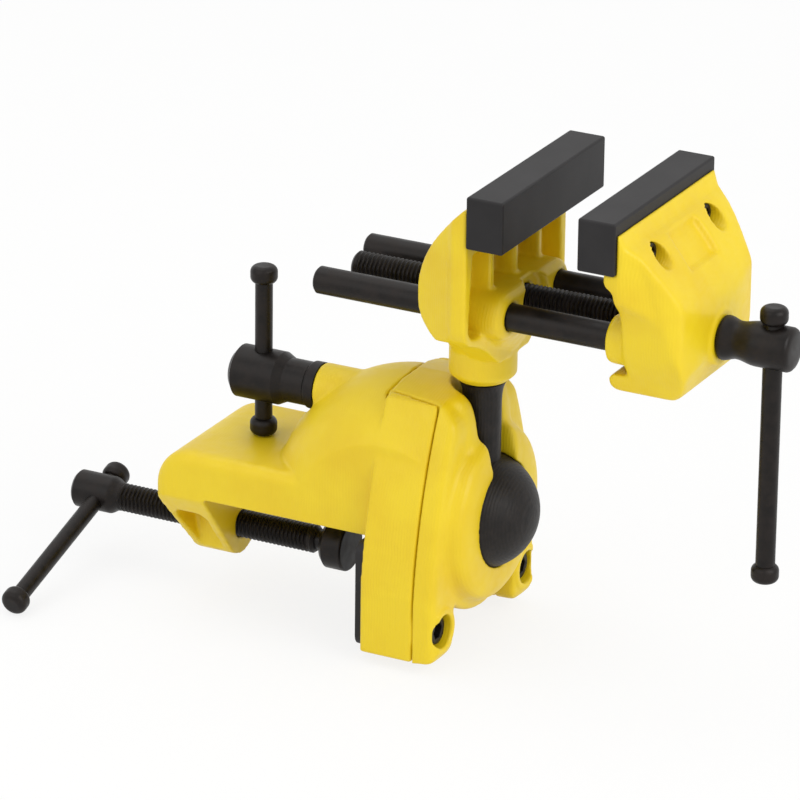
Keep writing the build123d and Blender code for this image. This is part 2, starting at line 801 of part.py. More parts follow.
with BuildPart() as fixed_jaw:
    # Front view: as wide as the pad down to the rods, then in to the collar.
    with BuildSketch(Plane.YZ.offset(fixed_back_x)):
        with BuildLine():
            waist = (collar_radius - 0.5, collar_top - overcut)
            Polyline((0, jaw_top), (jaw_half_width, jaw_top), (jaw_half_width, rod_z))
            Spline(
                (jaw_half_width, rod_z),
                (rod_spread + rod_boss_radius + overcut, rod_z - fixed_jaw_waist_drop),
                waist,
                tangents=((0, -1), (-1, -0.8)),
            )
            Line(waist, (0, waist[1]))
            mirror(about=Plane.YZ)
        make_face()
    extrude(amount=fixed_jaw_depth)
    # Side view: the back swells behind the rods and leans forward above them.
    with BuildSketch(Plane.XZ):
        with BuildLine():
            back_top = (fixed_jaw_x - fixed_jaw_top_depth, jaw_top)
            back_foot = (fixed_jaw_x - fixed_jaw_depth / 2, rod_z - fixed_jaw_waist_drop)
            hump = (fixed_back_x, rod_z + fixed_jaw_hump_rise)
            Spline(
                back_top,
                (fixed_back_x + fixed_jaw_slope_run, pad_bottom + overcut),
                hump,
                (fixed_back_x + 0.1 * fixed_jaw_depth, rod_z - overcut),
                back_foot,
                tangents=((-1, -1), (1, -0.5)),
            )
            Polyline(
                back_foot,
                (back_foot[0], 0),
                (fixed_jaw_x, 0),
                (fixed_jaw_x, jaw_top),
                back_top,
            )
        make_face()
    extrude(amount=jaw_width, both=True, mode=Mode.INTERSECT)
    # Top view: the sides draw in behind a ridge.
    with BuildSketch(Plane.XY):
        with BuildLine():
            ridge_x = fixed_back_x + fixed_jaw_ridge_depth
            Polyline(
                (fixed_back_x, 0),
                (fixed_back_x, jaw_half_width - fixed_jaw_draw_in),
                (ridge_x, jaw_half_width - fixed_jaw_ridge_step),
                (ridge_x + fixed_jaw_ridge_step, jaw_half_width),
                (fixed_jaw_x, jaw_half_width),
                (fixed_jaw_x, 0),
            )
            mirror(about=Plane.XZ)
        make_face()
    extrude(amount=big, mode=Mode.INTERSECT)
    # Dished front with ribs below the pad.
    with BuildSketch(Plane.YZ.offset(fixed_jaw_x - fixed_jaw_dish_depth)):
        with BuildLine():
            dish_side = jaw_half_width - fixed_jaw_wall
            dish_top = pad_bottom - fixed_jaw_brow
            dish_bottom = rod_z - fixed_jaw_dish_drop
            Polyline((0, dish_top), (dish_side - overcut, dish_top), (dish_side, rod_z))
            TangentArc((dish_side, rod_z), (dish_side - fixed_jaw_dish_drop, dish_bottom), tangent=(0, -1))
            Line((dish_side - fixed_jaw_dish_drop, dish_bottom), (0, dish_bottom))
            mirror(about=Plane.YZ)
        make_face()
    extrude(amount=big, mode=Mode.SUBTRACT)
    with BuildSketch(Plane.YZ.offset(fixed_jaw_x - fixed_jaw_dish_depth)):
        with Locations((0, rod_z)):
            with GridLocations(fixed_jaw_rib_pitch, 0, fixed_jaw_rib_count, 1):
                Rectangle(
                    fixed_jaw_rib,
                    pad_bottom - rod_z,
                    align=(Align.CENTER, Align.MIN),
                )
    extrude(amount=fixed_jaw_dish_depth)
    # Boss that carries both rods and the screw.
    with BuildSketch(Plane.YZ.offset(fixed_boss_x)):
        with Locations((0, rod_z)):
            SlotCenterToCenter(2 * rod_spread, 2 * rod_boss_radius)
    extrude(amount=-(fixed_boss_reach + fixed_jaw_depth - 2.0))
    fillet(fixed_jaw.faces().sort_by(Axis.X)[-1].outer_wire().edges(), fixed_boss_round)
    # Neck from the boss down to the collar.
    with BuildSketch(Plane.XY.offset(collar_top - 1.0)):
        with Locations((ball_x, 0)):
            Circle(collar_radius)
    with BuildSketch(Plane.XY.offset(rod_z - rod_boss_radius + 1.0)):
        with Locations(((fixed_back_x + fixed_boss_x) / 2, 0)):
            RectangleRounded(
                fixed_boss_x - fixed_back_x - 2 * moving_gap,
                2 * rod_spread + rod_boss_radius,
                rod_boss_radius,
            )
    loft()
    with BuildSketch(Plane.XY.offset(collar_z)):
        with Locations((ball_x, 0)):
            Circle(collar_radius)
    extrude(amount=collar_length)
    chamfer(
        fixed_jaw.edges().filter_by(GeomType.CIRCLE).group_by(Axis.Z)[0],
        length=collar_chamfer,
        length2=collar_radius - collar_bottom_radius,
    )
    # Recessed face round the screw, then the bores.
    with BuildSketch(Plane.YZ.offset(fixed_boss_x - fixed_boss_recess)):
        with Locations((0, rod_z)):
            Circle(screw_radius + fixed_boss_recess_margin)
    extrude(amount=big, mode=Mode.SUBTRACT)
    with BuildSketch(Plane.YZ.offset(-big / 2)):
        with Locations((0, rod_z)):
            Circle(screw_radius + running_gap)
        with Locations(*rod_places):
            Circle(rod_radius + running_gap)
    extrude(amount=big, mode=Mode.SUBTRACT)
    with BuildSketch(Plane.XY.offset(collar_z)):
        with Locations((ball_x, 0)):
            Circle(spigot_radius + running_gap)
    extrude(amount=spigot_length + stop_gap, mode=Mode.SUBTRACT)
    # Holes and head seats for the pad's screws.
    with BuildSketch(Plane.YZ.offset(fixed_jaw_x)):
        with Locations(*pad_screw_places):
            Circle(pad_screw_radius)
    extrude(amount=-big, mode=Mode.SUBTRACT)
    with BuildSketch(Plane.YZ.offset(fixed_jaw_x - fixed_pad_grip)):
        with Locations(*pad_screw_places):
            Circle(pad_screw_head_radius + moving_gap)
    extrude(amount=-big, mode=Mode.SUBTRACT)
fixed_jaw.part.label = "fixed_jaw"
export_step(fixed_jaw.part, "parts/fixed_jaw.step")

with BuildPart() as fixed_jaw_pad:
    with BuildSketch(Plane.YZ.offset(fixed_jaw_x)):
        with Locations((0, pad_middle)):
            Rectangle(jaw_width, jaw_pad_height)
    extrude(amount=jaw_pad_thickness)
    fillet(fixed_jaw_pad.edges(), jaw_pad_round)
    with BuildSketch(Plane.YZ.offset(fixed_jaw_x)):
        with Locations(*pad_screw_places):
            Circle(pad_screw_radius)
    extrude(amount=pad_screw_bite, mode=Mode.SUBTRACT)
fixed_jaw_pad.part.label = "fixed_jaw_pad"
export_step(fixed_jaw_pad.part, "parts/fixed_jaw_pad.step")

with BuildPart() as fixed_pad_screws:
    with BuildSketch(Plane.YZ.offset(fixed_jaw_x - fixed_pad_grip)):
        with Locations(*pad_screw_places):
            Circle(pad_screw_head_radius)
    extrude(amount=-pad_screw_head_height)
    with BuildSketch(Plane.YZ.offset(fixed_jaw_x - fixed_pad_grip)):
        with Locations(*pad_screw_places):
            Circle(pad_screw_radius)
    extrude(amount=fixed_pad_grip + pad_screw_bite)
fixed_pad_screws.part.label = "fixed_pad_screws"
export_step(fixed_pad_screws.part, "parts/fixed_pad_screws.step")

# ---------------------------------------------------------------- moving jaw
jaw_shell_top = pad_top - moving_jaw_step
floor_z = rod_z - moving_jaw_drop
journal_x = moving_front_x - hub_length
ledge_x = moving_jaw_x - ledge_reach
wall_back_x = moving_jaw_x - moving_wall_back
floor_back_x = moving_jaw_x - floor_reach
rod_boss_x = moving_jaw_x - moving_boss_reach


def moving_jaw_front(inset=0.0):
    """Outline of the moving jaw seen along X, narrowing to the floor."""
    with BuildSketch() as outline:
        with BuildLine():
            side = jaw_half_width - inset
            waist = rod_spread + rod_boss_radius + moving_jaw_side_wall / 2 - inset
            foot = moving_floor_half_width - inset
            Polyline((0, pad_top), (side, pad_top), (side, pad_bottom - ledge_height))
            Spline(
                (side, pad_bottom - ledge_height),
                ((side + waist) / 2 - 1.0, (pad_bottom + rod_z) / 2),
                (waist, rod_z),
                (foot, floor_z),
                tangents=((0, -1), (-0.35, -1)),
            )
            Line((foot, floor_z), (0, floor_z))
            mirror(about=Plane.YZ)
        make_face()
    return outline.sketch


def moving_jaw_plan(inset=0.0):
    """Outline of the moving jaw seen from above, narrowing to the front."""
    with BuildSketch() as outline:
        with BuildLine():
            side = jaw_half_width - inset
            Polyline(
                (floor_back_x, 0),
                (floor_back_x, side),
                (moving_jaw_x + 1.0, side),
                (moving_front_x - moving_jaw_bow, side - moving_jaw_taper),
            )
            ThreePointArc(
                (moving_front_x - moving_jaw_bow, side - moving_jaw_taper),
                (moving_front_x - moving_jaw_bow / 4, (side - moving_jaw_taper) / 2),
                (moving_front_x, 0),
            )
            mirror(about=Plane.XZ)
        make_face()
    return outline.sketch


with BuildPart() as moving_jaw_form:
    # Side view: a steep brow, a swelling front and a floor.
    with BuildSketch(Plane.XZ):
        with BuildLine():
            brow = (moving_jaw_x + moving_brow, jaw_shell_top - moving_brow_drop)
            chin = (moving_front_x - 0.4 * moving_jaw_depth, floor_z)
            Polyline(
                (ledge_x, pad_bottom),
                (moving_jaw_x, pad_bottom),
                (moving_jaw_x, jaw_shell_top),
                (moving_jaw_x + 0.6, jaw_shell_top),
                brow,
            )
            Spline(
                brow,
                (moving_jaw_x + 0.44 * moving_jaw_depth, pad_bottom + 3.4),
                (moving_jaw_x + 0.76 * moving_jaw_depth, pad_bottom - 5.5),
                (moving_front_x, rod_z + moving_face_rise),
                tangents=((1, -0.45), (0, -1)),
            )
            Line((moving_front_x, rod_z + moving_face_rise), (moving_front_x, rod_z - 1.0))
            Spline(
                (moving_front_x, rod_z - 1.0),
                (moving_front_x - 2.2, rod_z - 0.55 * moving_jaw_drop),
                chin,
                tangents=((0, -1), (-1, -0.15)),
            )
            Polyline(
                chin,
                (floor_back_x + floor_corner, floor_z),
                (floor_back_x, floor_z + floor_corner),
                (floor_back_x, floor_z + floor_thickness - floor_corner),
                (floor_back_x + floor_corner, floor_z + floor_thickness),
                (wall_back_x, floor_z + floor_thickness),
                (wall_back_x, pad_bottom - ledge_height - 1.5),
                (ledge_x, pad_bottom - ledge_height),
                (ledge_x, pad_bottom),
            )
        make_face()
    extrude(amount=jaw_width, both=True)
    with BuildSketch(Plane.YZ):
        add(moving_jaw_front())
    extrude(amount=big, mode=Mode.INTERSECT)
    with BuildSketch(Plane.XY):
        add(moving_jaw_plan())
    extrude(amount=big, mode=Mode.INTERSECT)

# Rear of the sides, which the front part stands proud of.
with BuildPart() as side_bands:
    with BuildSketch(Plane.XZ):
        with BuildLine():
            band_top = (moving_jaw_x + 0.2 * moving_jaw_depth, pad_top)
            band_knee = (moving_front_x - 0.32 * moving_jaw_depth, rod_z + moving_face_rise)
            band_foot = (band_knee[0], floor_z)
            Spline(
                band_top,
                (moving_jaw_x + 0.44 * moving_jaw_depth, pad_bottom),
                band_knee,
                band_foot,
            )
            Polyline(band_foot, (ledge_x - overcut, floor_z), (ledge_x - overcut, pad_top), band_top)
        make_face()
    extrude(amount=jaw_width, both=True)
    with BuildSketch(Plane.XY):
        Rectangle(big, jaw_width + big)
        add(moving_jaw_plan(moving_jaw_band), mode=Mode.SUBTRACT)
    extrude(amount=big, mode=Mode.INTERSECT)

with BuildPart() as moving_jaw_hollow:
    with BuildSketch(Plane.XZ):
        with BuildLine():
            inner_front_x = moving_front_x - moving_front_wall
            inner_top = pad_bottom - ledge_height
            inner_floor = floor_z + floor_thickness
            Polyline(
                (inner_front_x - 0.5 * moving_jaw_depth, inner_top),
                (floor_back_x - 1.0, inner_top),
                (floor_back_x - 1.0, inner_floor),
                (inner_front_x - 3.0, inner_floor),
                (inner_front_x, rod_z - 4.0),
                (inner_front_x, rod_z + moving_face_rise - 2.0),
            )
            ThreePointArc(
                (inner_front_x, rod_z + moving_face_rise - 2.0),
                (inner_front_x - 0.16 * moving_jaw_depth, (inner_top + rod_z) / 2 + 4.0),
                (inner_front_x - 0.5 * moving_jaw_depth, inner_top),
            )
        make_face()
    extrude(amount=jaw_width, both=True)
    with BuildSketch(Plane.YZ):
        add(moving_jaw_front(moving_jaw_side_wall))
    extrude(amount=big, mode=Mode.INTERSECT)
    with BuildSketch(Plane.XY):
        add(moving_jaw_plan(moving_jaw_side_wall))
        with Locations((floor_back_x, 0)):
            Rectangle(2.0, 2 * (jaw_half_width - moving_jaw_side_wall), align=(Align.MAX, Align.CENTER))
    extrude(amount=big, mode=Mode.INTERSECT)

with BuildPart() as panel_skin:
    add(moving_jaw_form.part)
    add(moving_jaw_form.part.moved(Location((-panel_depth, 0, -panel_depth))), mode=Mode.SUBTRACT)
    with BuildSketch(Plane.XY):
        with Locations((moving_jaw_x + moving_brow + panel_margin, 0)):
            RectangleRounded(
                2 * moving_jaw_depth,
                2 * panel_half_width,
                panel_corner,
                align=(Align.MIN, Align.CENTER),
            )
    extrude(amount=big, mode=Mode.INTERSECT)
    with Locations((moving_jaw_x, 0, rod_z + panel_rise)):
        Box(big, jaw_width, big, align=(Align.CENTER, Align.CENTER, Align.MIN), mode=Mode.INTERSECT)

with BuildPart() as moving_jaw:
    add(moving_jaw_form.part)
    add(side_bands.part, mode=Mode.SUBTRACT)
    add(moving_jaw_hollow.part, mode=Mode.SUBTRACT)
    add(panel_skin.part, mode=Mode.SUBTRACT)
    # Bosses for the rods, and the hub that the screw turns in.
    with BuildSketch(Plane.YZ.offset(rod_boss_x)):
        with Locations(*rod_places):
            Circle(rod_boss_radius)
    extrude(amount=moving_front_x - moving_front_wall - rod_boss_x + 1.0)
    with BuildSketch(Plane.YZ.offset(journal_x)):
        with Locations((0, rod_z)):
            Circle(hub_radius)
    extrude(amount=hub_length)
    with BuildSketch(Plane.YZ.offset(moving_front_x - 2.0)):
        with Locations((0, rod_z)):
            Circle(hub_lip_radius)
    extrude(amount=2.0 + hub_lip_rise)
    with BuildSketch(Plane.YZ.offset(moving_front_x - moving_front_wall)):
        with Locations(*rod_places):
            Circle(rod_radius)
    extrude(amount=-big, mode=Mode.SUBTRACT)
    with BuildSketch(Plane.YZ):
        with Locations((0, rod_z)):
            Circle(journal_radius + running_gap)
    extrude(amount=big, mode=Mode.SUBTRACT)
    # Holes for the pad's screws, with deep mouths in the curved face.
    with BuildSketch(Plane.YZ.offset(moving_jaw_x - 1.0)):
        with Locations(*pad_screw_places):
            Circle(pad_screw_radius)
    extrude(amount=big, mode=Mode.SUBTRACT)
    with BuildSketch(Plane.YZ.offset(moving_jaw_x + moving_pad_grip)):
        with Locations(*pad_screw_places):
            Circle(pad_screw_head_radius + moving_gap)
    extrude(amount=big, mode=Mode.SUBTRACT)
moving_jaw.part.label = "moving_jaw"
export_step(moving_jaw.part, "parts/moving_jaw.step")

with BuildPart() as moving_jaw_pad:
    with BuildSketch(Plane.YZ.offset(moving_pad_x)):
        with Locations((0, pad_middle)):
            Rectangle(jaw_width, jaw_pad_height)
    extrude(amount=jaw_pad_thickness)
    fillet(moving_jaw_pad.edges(), jaw_pad_round)
    with BuildSketch(Plane.YZ.offset(moving_jaw_x)):
        with Locations(*pad_screw_places):
            Circle(pad_screw_radius)
    extrude(amount=-pad_screw_bite, mode=Mode.SUBTRACT)
moving_jaw_pad.part.label = "moving_jaw_pad"
export_step(moving_jaw_pad.part, "parts/moving_jaw_pad.step")

with BuildPart() as moving_pad_screws:
    with BuildSketch(Plane.YZ.offset(moving_jaw_x + moving_pad_grip)):
        with Locations(*pad_screw_places):
            Circle(pad_screw_head_radius)
    extrude(amount=pad_screw_head_height)
    with BuildSketch(Plane.YZ.offset(moving_jaw_x + moving_pad_grip)):
        with Locations(*pad_screw_places):
            Circle(pad_screw_radius)
    extrude(amount=-(moving_pad_grip + pad_screw_bite))
moving_pad_screws.part.label = "moving_pad_screws"
export_step(moving_pad_screws.part, "parts/moving_pad_screws.step")

# ---------------------------------------------------------------- guide rods
rod_front_x = moving_front_x - moving_front_wall

with BuildPart() as guide_rod_near:
    with BuildSketch(Plane.YZ.offset(-rod_rear_reach)):
        with Locations((-rod_spread, rod_z)):
            Circle(rod_radius)
    extrude(amount=rod_rear_reach + rod_front_x)
    chamfer(guide_rod_near.edges().filter_by(GeomType.CIRCLE).group_by(Axis.X)[0], rod_chamfer)
guide_rod_near.part.label = "guide_rod_near"
export_step(guide_rod_near.part, "parts/guide_rod_near.step")

with BuildPart() as guide_rod_far:
    mirror(guide_rod_near.part, about=Plane.XZ)
guide_rod_far.part.label = "guide_rod_far"
export_step(guide_rod_far.part, "parts/guide_rod_far.step")

# ---------------------------------------------------------------- vise screw and its bar
washer_back_x = journal_x - thrust_washer_thickness
ring_back_x = washer_back_x - stop_gap - retaining_ring_thickness
flange_x = moving_front_x + hub_lip_rise + stop_gap
waist_x = flange_x + vise_flange_length
vise_hub_x = waist_x + vise_waist_length
vise_screw_end = vise_hub_x + vise_hub_length
vise_bar_x = vise_hub_x + vise_hub_length / 2
vise_bar_plane = Plane(origin=(vise_bar_x, 0, 0), z_dir=(0, 0, 1))
vise_bar_high = rod_z + vise_hub_radius + seat_gap + knob_height
vise_bar_low = vise_bar_high - vise_bar_length

with BuildPart() as thrust_washer:
    with BuildSketch(Plane.YZ.offset(washer_back_x)):
        with Locations((0, rod_z)):
            Circle(thrust_washer_radius)
            Circle(screw_radius + running_gap, mode=Mode.SUBTRACT)
    extrude(amount=thrust_washer_thickness)
thrust_washer.part.label = "thrust_washer"
export_step(thrust_washer.part, "parts/thrust_washer.step")

with BuildPart() as retaining_ring:
    with BuildSketch(Plane.YZ.offset(ring_back_x)):
        with Locations((0, rod_z)):
            Circle(retaining_ring_radius)
            Circle(ring_groove_radius, mode=Mode.SUBTRACT)
    extrude(amount=retaining_ring_thickness)
retaining_ring.part.label = "retaining_ring"
export_step(retaining_ring.part, "parts/retaining_ring.step")

with BuildPart() as vise_screw:
    with BuildSketch(Plane.XZ):
        with BuildLine():
            Polyline(
                (vise_screw_end, rod_z + vise_hub_radius - 1.2),
                (vise_screw_end + vise_dome_rise, rod_z),
                (-screw_rear_reach, rod_z),
                (-screw_rear_reach, rod_z + screw_radius - 1.0),
                (-screw_rear_reach + 1.0, rod_z + screw_radius),
                (ring_back_x, rod_z + screw_radius),
                (ring_back_x, rod_z + ring_groove_radius),
                (ring_back_x + retaining_ring_thickness, rod_z + ring_groove_radius),
                (ring_back_x + retaining_ring_thickness, rod_z + screw_radius),
                (journal_x, rod_z + screw_radius),
                (journal_x, rod_z + journal_radius),
                (flange_x, rod_z + journal_radius),
                (flange_x, rod_z + vise_flange_radius),
                (flange_x + 1.2, rod_z + vise_flange_radius),
            )
            Spline(
                (flange_x + 1.2, rod_z + vise_flange_radius),
                (waist_x + 1.0, rod_z + vise_waist_radius),
                (vise_hub_x + 2.5, rod_z + vise_hub_radius),
                tangents=((1, -0.6), (1, 0.05)),
            )
            Polyline(
                (vise_hub_x + 2.5, rod_z + vise_hub_radius),
                (vise_screw_end - 1.2, rod_z + vise_hub_radius),
                (vise_screw_end, rod_z + vise_hub_radius - 1.2),
            )
        make_face()
    revolve(axis=Axis((0, 0, rod_z), (1, 0, 0)))
    with BuildSketch(vise_bar_plane):
        Circle(vise_bar_radius + running_gap)
    extrude(amount=big, mode=Mode.SUBTRACT)
vise_screw.part.label = "vise_screw"
export_step(vise_screw.part, "parts/vise_screw.step")

with BuildPart() as vise_bar:
    add(cross_bar(vise_bar_plane, vise_bar_low, vise_bar_high, vise_bar_radius))
vise_bar.part.label = "vise_bar"
export_step(vise_bar.part, "parts/vise_bar.step")

with BuildPart() as vise_bar_knobs:
    add(bar_knobs(vise_bar_plane, vise_bar_low, vise_bar_high, vise_bar_radius))
vise_bar_knobs.part.label = "vise_bar_knobs"
export_step(vise_bar_knobs.part, "parts/vise_bar_knobs.step")
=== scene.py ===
"""Clamp-on swivel vise: enamelled castings, black steel spindles with cut threads, rubber jaw pads."""
import math

import bmesh
import bpy
from mathutils import Matrix, Vector


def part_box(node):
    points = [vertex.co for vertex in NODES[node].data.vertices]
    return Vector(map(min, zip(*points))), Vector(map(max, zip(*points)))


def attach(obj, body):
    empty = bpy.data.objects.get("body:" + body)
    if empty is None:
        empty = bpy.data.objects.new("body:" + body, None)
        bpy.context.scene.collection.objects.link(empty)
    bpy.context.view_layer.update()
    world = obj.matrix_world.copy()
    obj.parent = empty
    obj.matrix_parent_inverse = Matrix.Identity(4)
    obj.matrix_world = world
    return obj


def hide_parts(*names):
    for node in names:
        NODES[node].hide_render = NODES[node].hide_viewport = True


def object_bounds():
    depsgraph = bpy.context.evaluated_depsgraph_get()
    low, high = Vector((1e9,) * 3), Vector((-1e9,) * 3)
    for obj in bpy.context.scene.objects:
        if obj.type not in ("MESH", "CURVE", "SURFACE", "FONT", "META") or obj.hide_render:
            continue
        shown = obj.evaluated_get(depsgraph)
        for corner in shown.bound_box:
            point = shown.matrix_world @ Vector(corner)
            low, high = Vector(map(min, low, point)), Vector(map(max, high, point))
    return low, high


bl_info = {
    "name": "Clamp-on Swivel Vise",
    "version": (1, 0, 0),
    "blender": (4, 5, 0),
    "location": "View3D > Sidebar > Swivel Vise",
    "description": "Dresses the swivel vise's castings, spindles, pads and screws",
    "category": "Object",
}

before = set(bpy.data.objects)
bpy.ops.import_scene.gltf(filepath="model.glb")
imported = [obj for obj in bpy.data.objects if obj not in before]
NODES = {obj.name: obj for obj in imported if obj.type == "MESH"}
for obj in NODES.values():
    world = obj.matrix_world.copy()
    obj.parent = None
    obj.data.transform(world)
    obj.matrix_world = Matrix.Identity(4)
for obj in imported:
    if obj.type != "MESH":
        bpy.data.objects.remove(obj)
CAD_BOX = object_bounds()

MM = 0.001
MIX_A, MIX_B, MIX_RESULT = 6, 7, 2  # a Mix node's sockets for colours
WAVE_FACTOR = 20.0  # what a Wave texture multiplies its scale by
BALL = Vector((27.5, 0.0, 23.0))  # the ball's middle, in mm
PAD_SCREW_HEAD = 3.6  # radius of the pad screws' heads, in mm

CASTING_SHARP = 80.0  # a casting's crease under this angle, in degrees, is shaded smooth
ROUNDS_A_STEP = 4  # smoothing rounds that wear an edge over one step of the grid

# Where a casting's creases aren't worn away, in mm: each _HELD is how far from the middle of
# something, or from a face, and each _FADE is how much further the hold takes to end.
SEAT_HELD, SEAT_FADE = 21.5, 2.0  # the ball's seat
POCKET_OUT, POCKET_UP = 29.9, -8.1  # the cover screws' pockets
POCKET_HELD, POCKET_FADE = 8.0, 2.0
JOINT_HELD, JOINT_FADE = 22.0, 3.0  # the cover's joint with the frame, from x = 0
HUB_BORE_HELD, PAD_SCREW_HELD, BORE_FADE = 10.5, 5.0, 3.0
PAD_SEAT_HELD, PAD_SEAT_FADE, PAD_MARGIN = 0.5, 2.0, 3.0  # the pad's seat, and just under it
CREST_HELD, CREST_FADE, CREST_FOOT = 7.2, 12.0, 116.0  # the jaw's middle, above a height

# The panel sunk in the moving jaw: half its width, its foot's height, its start behind the pad,
# how much deeper the mould presses it, and how wide its wall is, in mm.
PANEL_HALF, PANEL_FOOT, PANEL_BACK = 9.6, 122.3, 5.2
PANEL_DEEPER, PANEL_WALL = 0.8, 0.6

# The camera's axes, and where it stands along them from the ball, in mm.
CAMERA_RIGHT = Vector((0.88637, 0.46283, 0.01150))
CAMERA_UP = Vector((-0.18206, 0.32560, 0.92781))
CAMERA_BACK = Vector((0.42568, -0.82448, 0.37286))
CAMERA_AT = (-25.951, 35.139, 1944.4)
CAMERA_LENS, CAMERA_SENSOR = 271.4, 36.0


# ------------------------------------------------------------------ small tools
def mm(value):
    return value * MM


def box_in_mm(node):
    """A CAD node's lowest and highest corners at rest."""
    return [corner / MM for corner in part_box(node)]


def hex_colour(code):
    """sRGB hex to the linear RGBA that shaders take."""
    parts = [int(code[i : i + 2], 16) / 255 for i in (1, 3, 5)]
    linear = [c / 12.92 if c <= 0.04045 else ((c + 0.055) / 1.055) ** 2.4 for c in parts]
    return (*linear, 1.0)


def add_node(tree, kind, inputs=None, **settings):
    """Adds a shader node, sets its properties, and fills or links its inputs by name or number."""
    made = tree.nodes.new("ShaderNode" + kind)
    for name, value in settings.items():
        setattr(made, name, value)
    for key, value in (inputs or {}).items():
        if isinstance(value, bpy.types.NodeSocket):
            tree.links.new(value, made.inputs[key])
        else:
            made.inputs[key].default_value = value
    return made


def grain_scale(size):
    """Noise texture scale whose grains are this many millimetres across."""
    return 1000.0 / size


def wave_scale(spacing):
    """Wave texture scale whose lines stand this many millimetres apart."""
    return 2 * math.pi / WAVE_FACTOR * grain_scale(spacing)


def dress(node, material):
    """Gives a CAD node its material in every slot."""
    mesh = NODES[node].data
    if not mesh.materials:
        mesh.materials.append(material)
    for slot in range(len(mesh.materials)):
        mesh.materials[slot] = material


def finish_piece(name, mesh, material, body, node, sharp=35.0):
    """Links a new piece in, shades it, and lets it ride and stand for its CAD node."""
    mesh.name = name
    mesh.materials.clear()
    mesh.materials.append(material)
    mesh.shade_smooth()
    mesh.set_sharp_from_angle(angle=math.radians(sharp))
    piece = bpy.data.objects.new(name, mesh)
    bpy.context.scene.collection.objects.link(piece)
    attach(piece, body)
    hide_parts(node)


# ------------------------------------------------------------------ meshes
def mesh_of(name, shape):
    """The shape as a mesh, its normals made to point outwards."""
    bmesh.ops.recalc_face_normals(shape, faces=shape.faces)
    mesh = bpy.data.meshes.new(name)
    shape.to_mesh(mesh)
    shape.free()
    return mesh


def joined(*meshes):
    """Several meshes as one."""
    shape = bmesh.new()
    for mesh in meshes:
        shape.from_mesh(mesh)
        bpy.data.meshes.remove(mesh)
    return mesh_of("joined", shape)


def evaluated(mesh, *modifiers, weights=None):
    """The mesh after modifiers, each (kind, settings), with weights for a group named free."""
    work = bpy.data.objects.new("work", mesh)
    bpy.context.scene.collection.objects.link(work)
    if weights:
        group = work.vertex_groups.new(name="free")
        for number, weight in enumerate(weights):
            group.add([number], weight, "REPLACE")
    for kind, settings in modifiers:
        added = work.modifiers.new(kind.lower(), kind)
        for name, value in settings.items():
            setattr(added, name, value)
    ready = work.evaluated_get(bpy.context.evaluated_depsgraph_get())
    done = bpy.data.meshes.new_from_object(ready)
    bpy.data.objects.remove(work)
    bpy.data.meshes.remove(mesh)
    return done


def bored(mesh, centre, direction, radius, length=40.0, around=48):
    """The mesh with a round hole bored through it, all in mm."""
    drill_shape = bmesh.new()
    bmesh.ops.create_cone(
        drill_shape,
        cap_ends=True,
        segments=around,
        radius1=mm(radius),
        radius2=mm(radius),
        depth=mm(length),
    )
    place = Vector(direction).to_track_quat("Z", "X").to_matrix().to_4x4()
    place.translation = Vector(centre) * MM
    drill_shape.transform(place)
    drill_mesh = mesh_of("drill", drill_shape)
    drill = bpy.data.objects.new("drill", drill_mesh)
    bpy.context.scene.collection.objects.link(drill)
    done = evaluated(mesh, ("BOOLEAN", {"object": drill, "solver": "EXACT"}))
    bpy.data.objects.remove(drill)
    bpy.data.meshes.remove(drill_mesh)
    return done


def spun(shape, stations, height, around, middle=0.0, groove=None):
    """Closed skin turned about an axis along X, from stations of x and radius in mm.

    A radius may be a function of the turn from 0 to 1. A station's third value is its share of
    the thread's cut, which groove gives at x and turn.
    """
    rings = []
    for x, radius, *cut in stations:
        ring = []
        for step in range(around):
            turn = step / around
            reach = radius(turn) if callable(radius) else radius
            if cut:
                reach -= cut[0] * groove(x, turn)
            angle = 2 * math.pi * turn
            across = middle + reach * math.cos(angle)
            ring.append(shape.verts.new((mm(x), mm(across), mm(height + reach * math.sin(angle)))))
        rings.append(ring)
    for rear, front in zip(rings, rings[1:]):
        for step in range(around):
            shape.faces.new((rear[step], front[step], front[step - 1], rear[step - 1]))
    shape.faces.new(reversed(rings[0]))
    shape.faces.new(rings[-1])


def turned(name, stations, height, around, groove=None):
    """One turned skin as a mesh."""
    shape = bmesh.new()
    spun(shape, stations, height, around, groove=groove)
    return mesh_of(name, shape)


def eased(start, end, steps):
    """Turned stations from one (x, radius) to another in an S-curve."""
    out = []
    for step in range(1, steps + 1):
        share = step / steps
        ease = share * share * (3 - 2 * share)
        out.append((start[0] + (end[0] - start[0]) * share, start[1] + (end[1] - start[1]) * ease))
    return out


def cut_thread(start, end, radius, pitch, runout=1.5, stations_a_turn=6):
    """Turned stations along a thread, close enough to draw it, with a run-out at both ends."""
    count = round((end - start) / pitch * stations_a_turn)
    out = []
    for step in range(count + 1):
        x = start + (end - start) * step / count
        out.append((x, radius, min(1.0, (x - start) / runout, (end - x) / runout)))
    return out


def hexagon(half_key):
    """Radius of a hexagonal socket at a turn, from half of its width across the flats."""
    return lambda turn: half_key / math.cos((turn * 2 * math.pi) % (math.pi / 3) - math.pi / 6)


def clamped(share):
    return min(1.0, max(0.0, share))


